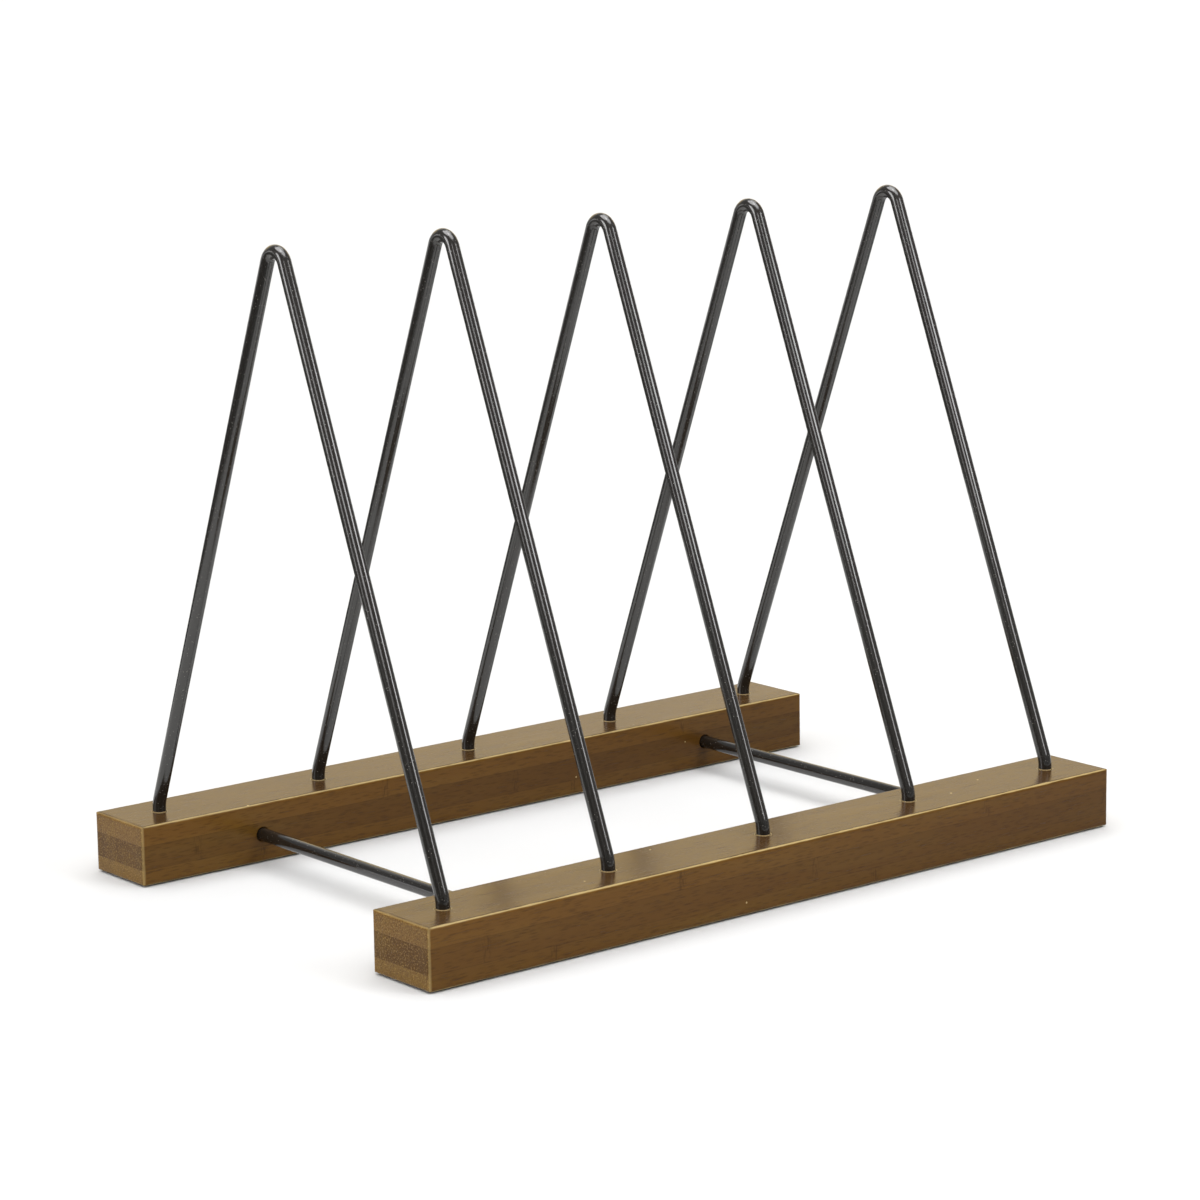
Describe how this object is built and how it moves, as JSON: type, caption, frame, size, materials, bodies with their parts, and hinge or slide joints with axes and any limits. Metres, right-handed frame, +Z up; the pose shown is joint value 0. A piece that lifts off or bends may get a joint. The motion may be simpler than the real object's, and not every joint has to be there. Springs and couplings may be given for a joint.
{
  "type": "record storage stand",
  "caption": "Record storage stand: two laminated bamboo rails joined by round cross rods, with upright bent-wire dividers that hold records on edge.",
  "frame": {"origin": "on the surface that the stand rests on, under the middle of the stand", "axes": "+X runs along the rails, +Y from the front rail to the back rail, +Z up; the dividers stand in planes across X"},
  "size_m": [0.324, 0.207, 0.24],
  "materials": {
    "bamboo_bottom_ply": "carbonised laminated bamboo, walnut stain, satin lacquer",
    "bamboo_core_ply": "carbonised laminated bamboo, walnut stain, satin lacquer",
    "bamboo_top_ply": "carbonised laminated bamboo, walnut stain, satin lacquer",
    "divider_wire": "drawn steel wire, blackened and clear lacquered, glossy along its draw lines",
    "cross_rod": "drawn steel rod, blackened and clear lacquered"
  },
  "bodies": {
    "root": {"front_rail_bottom_ply": "bamboo_bottom_ply", "front_rail_core_ply": "bamboo_core_ply", "front_rail_top_ply": "bamboo_top_ply", "back_rail_bottom_ply": "bamboo_bottom_ply", "back_rail_core_ply": "bamboo_core_ply", "back_rail_top_ply": "bamboo_top_ply", "divider_1": "divider_wire", "divider_2": "divider_wire", "divider_3": "divider_wire", "divider_4": "divider_wire", "divider_5": "divider_wire", "cross_rod_1": "cross_rod", "cross_rod_2": "cross_rod"}
  },
  "joints": []
}
